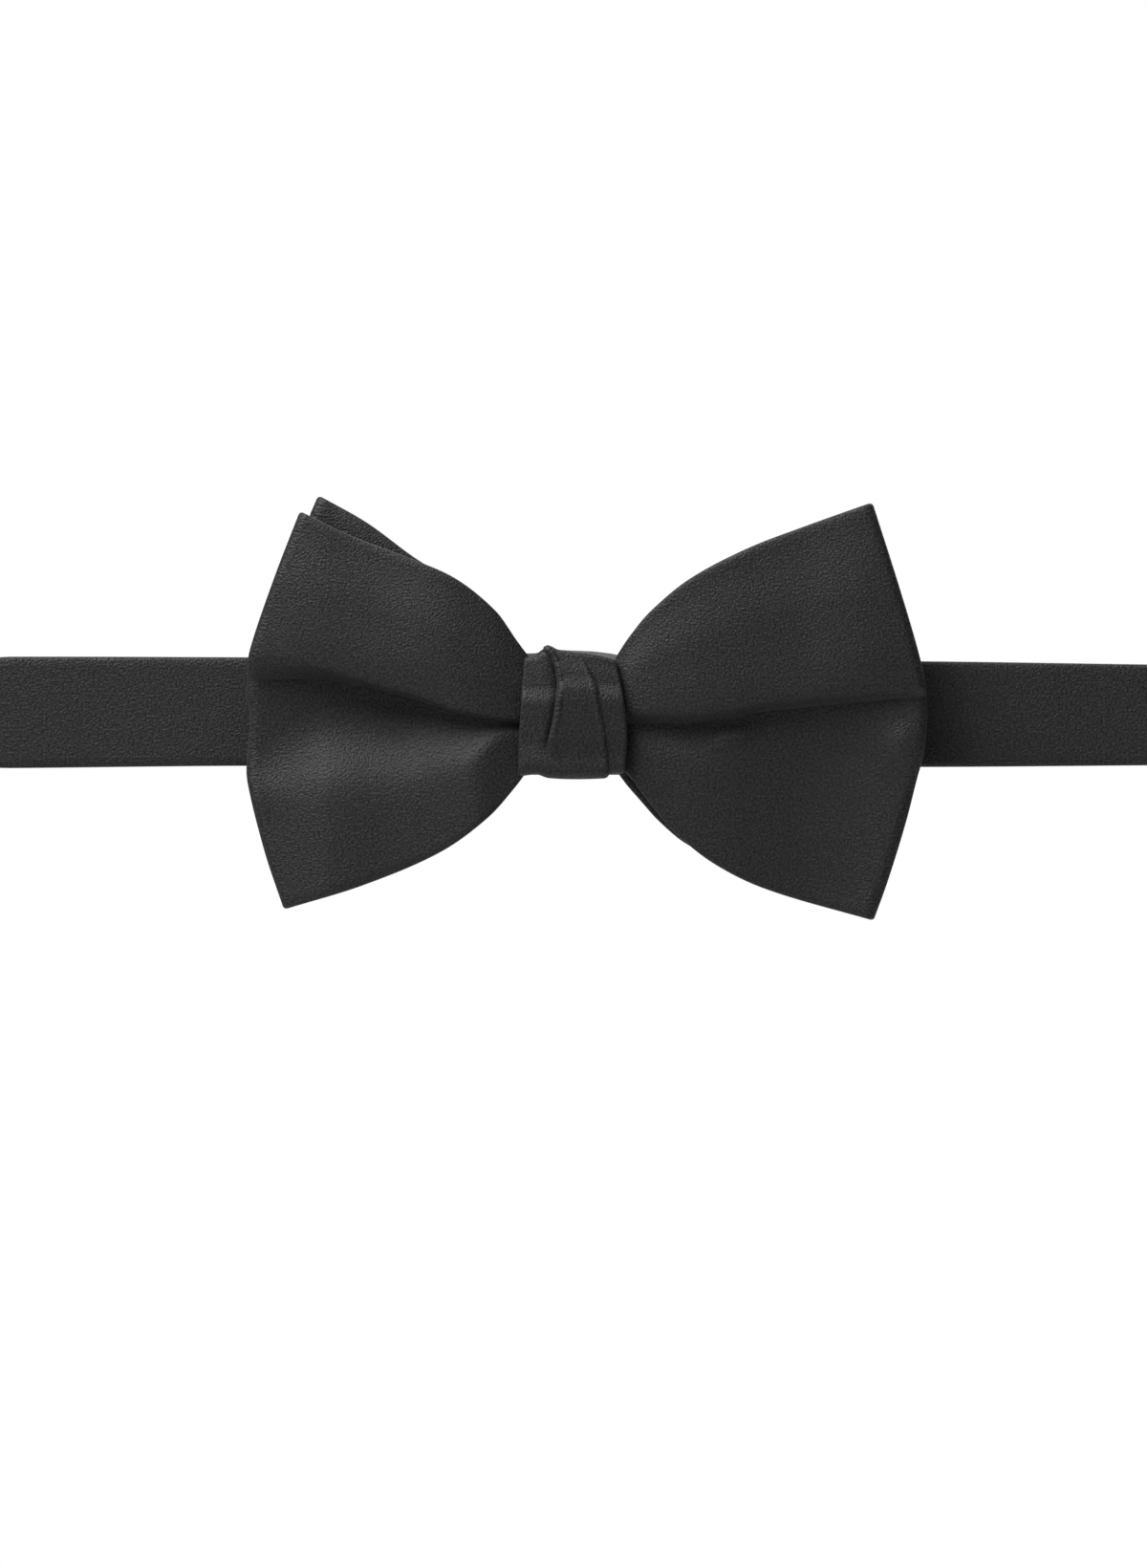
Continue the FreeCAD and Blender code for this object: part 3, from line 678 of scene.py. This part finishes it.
def strap_rows(side, rear_end, taper, front_steps=70):
    """Front run from behind the knot, round the fold, and back along the rear run.

    Over the length taper after the fold the strap comes to the rear run's height.
    """
    rows, radius, end_x = [], REAR_Y / 2, side * FOLD_X
    for k in range(front_steps):
        x = end_x * k / front_steps
        rows.append(strip_row(x, strap_ease(x), BAND_FOOT(x), BAND_TOP(x)))
    foot, top, rear_edge = BAND_FOOT(end_x), BAND_TOP(end_x), REAR_HALF - CLOTH_HALF
    rear = arc((end_x, radius), radius, -90, -90 + side * 180, 30)
    count = round(abs(end_x - rear_end) / 1.5)
    rear += [(mix(end_x, rear_end, k / count), REAR_Y) for k in range(1, count + 1)]
    travelled = 0.0
    for spot, before in zip(rear, rear[:1] + rear):
        travelled += math.dist(spot, before)
        share = smooth(travelled / taper)
        rows.append(strip_row(*spot, mix(foot, -rear_edge, share), mix(top, rear_edge, share)))
    return rows


def canvas_strip(name, low, high, y, node, body, half=CANVAS_HALF_WIDTH):
    """Flat interlining between the ends of a CAD node's box."""
    rows = rows_along([(low.x, y), (high.x, y)], -half, half, 3.0)
    piece = finish_piece(thick_strip(name, rows, 0.15, False, CANVAS), body, "interlining", node)


def make_neckband():
    """Two straps that bend across the folds, their interlining and the label."""
    for side, name, end, taper in ((-1, "left", node_box("left_rear_band_satin")[1].x, 22.0),
                                   (1, "right", node_box("right_rear_band_satin")[0].x, 50.0)):
        strap = thick_strip(f"{name}_strap", strap_rows(side, end, taper), CLOTH_HALF, False, SATIN)
        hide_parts("front_band_satin", f"{name}_band_fold", f"{name}_rear_band_satin")
        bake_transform(strap)
        low, high = node_box(f"{name}_rear_band_interlining")
        canvas_strip(f"{name}_rear_canvas", low, high, REAR_Y, f"{name}_rear_band_interlining",
                     f"{name}_rear_band")
    low, high = node_box("front_band_interlining")
    canvas_strip("front_canvas", low, high, 0.0, "front_band_interlining", "bow")
    low, high = node_box("knot_interlining")
    canvas_strip("knot_canvas", low, high, KNOT_CANVAS_Y, "knot_interlining", "bow", high.z)
    make_label()


def make_label():
    """Plain woven label sewn flat to the back of the strap, with no lettering."""
    low, high = node_box("care_label")
    margin = 0.1
    rows, steps = [], 28
    for k in range(steps + 1):
        x = mix(low.x + margin, high.x - margin, k / steps)
        bulge = 0.18 * math.sin(math.pi * k / steps) ** 2
        y = strap_ease(x) + CLOTH_HALF + 0.15 + bulge
        rows.append(strip_row(x, y, low.z + margin, high.z - margin))
    label = finish_piece(thick_strip("label", rows, 0.11, False, TAPE), "bow", "label_tape", "care_label")


# ---- adjustable straps at the hook and the eye ---------------------------------------
# Bars and paths are (x, y); every strap here stands upright about the band's middle height.
TURN_RADIUS = 1.55           # middle of the strap round a bar
TURN_HALF = 0.38
HOOK_BAR = (-14.0, 11.05)
HOOK_BAR_TOP = (HOOK_BAR[0], HOOK_BAR[1] + TURN_RADIUS)
EYE_BAR = (26.0, 11.05)
SLIDE_BAR = (-43.5, 9.65)
SLIDE_WRAP_RADIUS = 0.86
TONGUE_HALF = 0.19
HOOK_STRAP_TOP = 8.12
SLIDE_STRAP_TOP = 8.1
EYE_STRAP_TOP = 7.85


def sleeve_half(x, mouth_x):
    """Half thickness of the sleeve: full from just inside its mouth, thin near the hook's bar."""
    return mix(mix(0.66, 0.8, smooth((x - mouth_x) / 2)), TURN_HALF, smooth((x + 17.0) / 2.8))


def make_hook_strap():
    """Outer sleeve of the band, turned round the hook's bar and run back to the slide."""
    mouth_x = node_box("hook_strap_run")[0].x
    sleeve = smooth_path([(mouth_x, REAR_Y), (-30, REAR_Y), (-20, REAR_Y), (-16.8, REAR_Y + 0.05),
                          HOOK_BAR_TOP])
    turn = arc(HOOK_BAR, TURN_RADIUS, 90, -90)
    inner = smooth_path([(HOOK_BAR[0], SLIDE_BAR[1]), (-20, 9.62), (-31, 9.68), (-42.3, SLIDE_BAR[1])])
    thin = turn[1:] + inner[1:]
    rows = [strip_row(x, y, -HOOK_STRAP_TOP, HOOK_STRAP_TOP) for x, y in sleeve + thin]
    halves = [sleeve_half(x, mouth_x) for x, _ in sleeve] + [TURN_HALF] * len(thin)
    strap = thick_strip("hook_strap", rows, halves, False, SATIN)
    finish_piece(strap, "hook_carriage", "black_satin", "hook_strap_run", "hook_strap_turn")


def make_slide_strap():
    """Thin end of the strap, wrapped round the slide's bar and laid back on itself."""
    end_x = node_box("slide_strap_end")[1].x
    wrap = arc(SLIDE_BAR, SLIDE_WRAP_RADIUS, -30, -330, 28)
    tongue = smooth_path([(-42.5, 9.75), (-41.5, SLIDE_BAR[1]), (-30, SLIDE_BAR[1]), (end_x, SLIDE_BAR[1])])
    rows = [strip_row(x, y, -SLIDE_STRAP_TOP, SLIDE_STRAP_TOP) for x, y in wrap + tongue]
    halves = [TONGUE_HALF] * len(wrap)
    halves += [mix(TONGUE_HALF, 0.3, smooth((x + 42.5) / 1.5)) for x, _ in tongue]
    strap = thick_strip("slide_strap", rows, halves, False, SATIN)
    finish_piece(strap, "slide", "black_satin", "slide_strap_end")


def make_eye_strap():
    """End of the right rear band, turned round the eye's bar."""
    end_x = node_box("eye_strap_turn")[1].x
    inner = smooth_path([(end_x, 10.9), (32, 10.8), (29, 10.2), (EYE_BAR[0], EYE_BAR[1] - TURN_RADIUS)])
    turn = arc(EYE_BAR, TURN_RADIUS, 270, 90)
    outer = smooth_path([(EYE_BAR[0], EYE_BAR[1] + TURN_RADIUS), (28.2, 12.25), (30.5, REAR_Y)])
    rows = [strip_row(x, y, -EYE_STRAP_TOP, EYE_STRAP_TOP) for x, y in inner + turn[1:] + outer[1:]]
    strap = thick_strip("eye_strap", rows, TURN_HALF, False, SATIN)
    finish_piece(strap, "right_rear_band", "black_satin", "eye_strap_turn")


# ---- thread ------------------------------------------------------------------------
TACK_RUN = Vector((0.9, 0, 0.2))


def stitch(points, faces, start, end, out, radius, steps=7, sides=6):
    """One stitch as an arched, tapered twist of thread from start to end."""
    axis = (end - start).normalized()
    side_way = axis.cross(out)
    base = len(points)
    for i in range(steps + 1):
        share = i / steps
        centre = mix(start, end, share) + out * (radius * 1.1 * math.sin(math.pi * share))
        thick = radius * (0.35 + 0.65 * math.sin(math.pi * share) ** 0.5)
        for k in range(sides):
            angle = 2 * math.pi * (k / sides + 0.12 * i)
            points.append(centre + (out * math.sin(angle) + side_way * math.cos(angle)) * thick)
    for i in range(steps):
        for k in range(sides):
            m = (k + 1) % sides
            a, b = base + i * sides, base + (i + 1) * sides
            faces.append((a + k, a + m, b + m, b + k))
    faces.append(tuple(base + k for k in reversed(range(sides))))
    faces.append(tuple(base + steps * sides + k for k in range(sides)))


def make_stitches(name, node, body, centres, half_run, out, radius=0.17):
    """A row of stitches, each reaching half_run to either side of its centre."""
    points, faces = [], []
    for centre in centres:
        stitch(points, faces, centre - half_run, centre + half_run, out, radius)
    piece = make_mesh(name, points, faces, [], THREAD)
    finish_piece(piece, body, "black_thread", node)


def spaced(low, high, count):
    return [mix(low, high, k / (count - 1)) for k in range(count)]


def make_all_stitches():
    """Slip stitches behind the knot, the label's two rows, and a tack at the eye and slide."""
    back = Vector((0, 1, 0))
    low, high = node_box("knot_back_stitches")
    make_stitches("knot_seam", "knot_back_stitches", "bow",
                  [Vector((x, low.y, 0)) for x in spaced(low.x + 0.2, high.x - 0.2, 7)],
                  Vector((0.25, 0, 1.0)), back)
    low, high = node_box("label_stitches")
    make_stitches("label_seam", "label_stitches", "bow",
                  [Vector((x, strap_ease(x) + CLOTH_HALF + 0.26, z)) for x in (low.x + 0.15, high.x - 0.15)
                   for z in spaced(low.z + 0.7, high.z - 0.7, 5)],
                  Vector((0, 0, 0.7)), back)
    low, high = node_box("eye_tack_stitches")
    make_stitches("eye_tack", "eye_tack_stitches", "right_rear_band",
                  [Vector(((low.x + high.x) / 2, low.y, z)) for z in spaced(low.z + 0.2, high.z - 0.2, 15)],
                  TACK_RUN, back)
    low, high = node_box("slide_tack_stitches")
    make_stitches("slide_tack", "slide_tack_stitches", "slide",
                  [Vector(((low.x + high.x) / 2, high.y, z)) for z in spaced(low.z + 0.2, high.z - 0.2, 9)],
                  TACK_RUN, -back)


# ---- metal -------------------------------------------------------------------------
EDGE_ROUNDING = 0.16


def dress(piece, material):
    piece.data.materials.clear()
    piece.data.materials.append(material)


def bevelled_metal(node, body):
    """The stamped part with its sheared edges rounded over, as barrel plating leaves them."""
    piece = bpy.data.objects.new(f"{node}_plated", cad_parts[node].data.copy())
    bpy.context.scene.collection.objects.link(piece)
    sheet = bmesh.new()
    sheet.from_mesh(piece.data)
    bmesh.ops.remove_doubles(sheet, verts=sheet.verts, dist=0.002 * MM)
    bmesh.ops.dissolve_limit(sheet, angle_limit=math.radians(2), verts=sheet.verts, edges=sheet.edges)
    sharp = [e for e in sheet.edges if e.is_manifold and e.calc_face_angle() > math.radians(40)]
    bmesh.ops.bevel(sheet, geom=sharp, offset=EDGE_ROUNDING * MM, segments=2, profile=0.5,
                    affect="EDGES", clamp_overlap=True)
    bmesh.ops.triangulate(sheet, faces=[face for face in sheet.faces if len(face.verts) > 4])
    for face in sheet.faces:
        face.smooth = True
    sheet.to_mesh(piece.data)
    sheet.free()
    dress(piece, METAL)
    finish_piece(piece, body, "polished_metal", node)


# ---- the whole tie -----------------------------------------------------------------
make_bow()
make_knot()
make_neckband()
make_hook_strap()
make_slide_strap()
make_eye_strap()
make_all_stitches()
bevelled_metal("hook", "hook")
bevelled_metal("eye", "eye")
bevelled_metal("adjuster_slide", "slide")
dress(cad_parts["waist_thread"], THREAD)


# ---- studio ------------------------------------------------------------------------
def pale_material(name, colour):
    material, _, _, shader = new_material(name)
    shader.inputs["Base Color"].default_value = (*colour, 1)
    shader.inputs["Roughness"].default_value = 0.9
    return material


def make_floor(level=-0.42, half=2.4):
    """Pale floor, in metres, below what the camera sees."""
    corners = [(-half, -half, level), (half, -half, level), (half, half, level), (-half, half, level)]
    mesh = bpy.data.meshes.new("floor")
    mesh.from_pydata(corners, [], [(0, 1, 2, 3)])
    mesh.materials.append(pale_material("floor_paint", (0.85, 0.85, 0.85)))
    floor = bpy.data.objects.new("floor", mesh)
    bpy.context.scene.collection.objects.link(floor)


def make_world(seen, cast):
    """White backdrop for the camera, dimmer light for everything else."""
    world = bpy.data.worlds.new("studio")
    bpy.context.scene.world = world
    world.use_nodes = True
    nodes, links = world.node_tree.nodes, world.node_tree.links
    background = nodes["Background"]
    background.inputs["Color"].default_value = (1, 1, 1, 1)
    path = nodes.new("ShaderNodeLightPath")
    strength = nodes.new("ShaderNodeMapRange")
    strength.inputs["To Min"].default_value = cast
    strength.inputs["To Max"].default_value = seen
    links.new(path.outputs["Is Camera Ray"], strength.inputs["Value"])
    links.new(strength.outputs["Result"], background.inputs["Strength"])


def area_light(name, azimuth, elevation, distance, size, power):
    """Softbox seen from the object at an azimuth (0 in front, + to the right) and elevation.

    Distance and size are in metres, angles in degrees and power in watts.
    """
    turn, rise = math.radians(azimuth), math.radians(elevation)
    light = bpy.data.lights.new(name, "AREA")
    light.shape = "RECTANGLE"
    light.size, light.size_y = size
    light.energy = power
    lamp = bpy.data.objects.new(name, light)
    spot = Vector((math.sin(turn) * math.cos(rise), -math.cos(turn) * math.cos(rise), math.sin(rise)))
    lamp.location = spot * distance
    lamp.rotation_euler = (-spot).to_track_quat("-Z", "Y").to_euler()
    bpy.context.scene.collection.objects.link(lamp)


def make_camera(distance=1.5, height=-0.0126, view_width=0.2017, wing_plane=0.013, sensor=36.0):
    """Long lens square on to the front; view_width is seen at the wings' distance."""
    camera = bpy.data.cameras.new("camera")
    camera.sensor_fit = "HORIZONTAL"
    camera.sensor_width = sensor
    camera.lens = sensor * (distance - wing_plane) / view_width
    camera.clip_start = 0.01
    camera.clip_end = 20
    eye = bpy.data.objects.new("camera", camera)
    eye.location = (0, -distance, height)
    eye.rotation_euler = (math.pi / 2, 0, 0)
    bpy.context.scene.collection.objects.link(eye)
    bpy.context.scene.camera = eye


make_floor()
make_world(seen=1.0, cast=0.03)
area_light("key", -52, 52, 0.8, (0.6, 0.45), 8.3)
area_light("front", -20, 12, 1.5, (1.0, 0.8), 1.0)
area_light("right", 60, 25, 1.4, (0.6, 0.6), 0.5)
area_light("ceiling", 0, 89, 2.4, (3.0, 3.0), 22.0)
area_light("back", 160, 30, 1.5, (1.0, 0.8), 6.0)
make_camera()
bpy.context.scene.view_settings.view_transform = "Standard"
